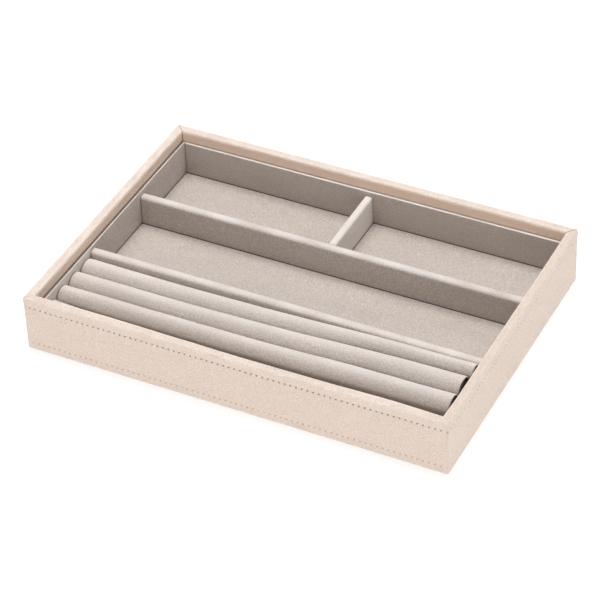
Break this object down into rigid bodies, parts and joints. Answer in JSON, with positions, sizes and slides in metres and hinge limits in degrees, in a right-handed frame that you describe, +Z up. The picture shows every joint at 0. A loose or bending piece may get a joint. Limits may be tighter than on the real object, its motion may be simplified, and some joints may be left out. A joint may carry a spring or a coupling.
{
  "type": "jewelry tray",
  "caption": "Shallow open jewelry tray in stitched soft leather with a velvet lining, fixed dividers and a bay of padded ring rolls.",
  "frame": {"origin": "the middle of the underside, on the surface that the tray stands on", "axes": "+X along the front wall to the right, +Y from the front (ring rolls) to the back, +Z up"},
  "size_m": [0.25, 0.177, 0.0348],
  "materials": {
    "leather": "fine-grained satin",
    "velvet": "short-pile velvet",
    "base_cloth": "short-pile cloth",
    "board": "raw pressed board",
    "foam": "soft foam"
  },
  "bodies": {
    "root": {"front_wall_board": "board", "back_wall_board": "board", "left_wall_board": "board", "right_wall_board": "board", "base_board": "board", "long_divider_board": "board", "short_divider_board": "board", "roll_divider_board": "board", "front_liner_card": "board", "back_liner_card": "board", "left_liner_card": "board", "right_liner_card": "board", "front_leather_cover": "leather", "back_leather_cover": "leather", "left_leather_cover": "leather", "right_leather_cover": "leather", "base_cover": "base_cloth", "front_liner_velvet": "velvet", "back_liner_velvet": "velvet", "left_liner_velvet": "velvet", "right_liner_velvet": "velvet", "long_divider_velvet": "velvet", "short_divider_velvet": "velvet", "roll_divider_velvet": "velvet", "back_left_floor_velvet": "velvet", "back_right_floor_velvet": "velvet", "middle_floor_velvet": "velvet", "roll_bay_floor_velvet": "velvet", "ring_roll_1_sleeve": "velvet", "ring_roll_2_sleeve": "velvet", "ring_roll_3_sleeve": "velvet", "ring_roll_4_sleeve": "velvet", "ring_roll_1_foam": "foam", "ring_roll_2_foam": "foam", "ring_roll_3_foam": "foam", "ring_roll_4_foam": "foam", "back_left_floor_board": "foam", "back_right_floor_board": "foam", "middle_floor_board": "foam", "roll_bay_floor_board": "foam"}
  },
  "joints": []
}
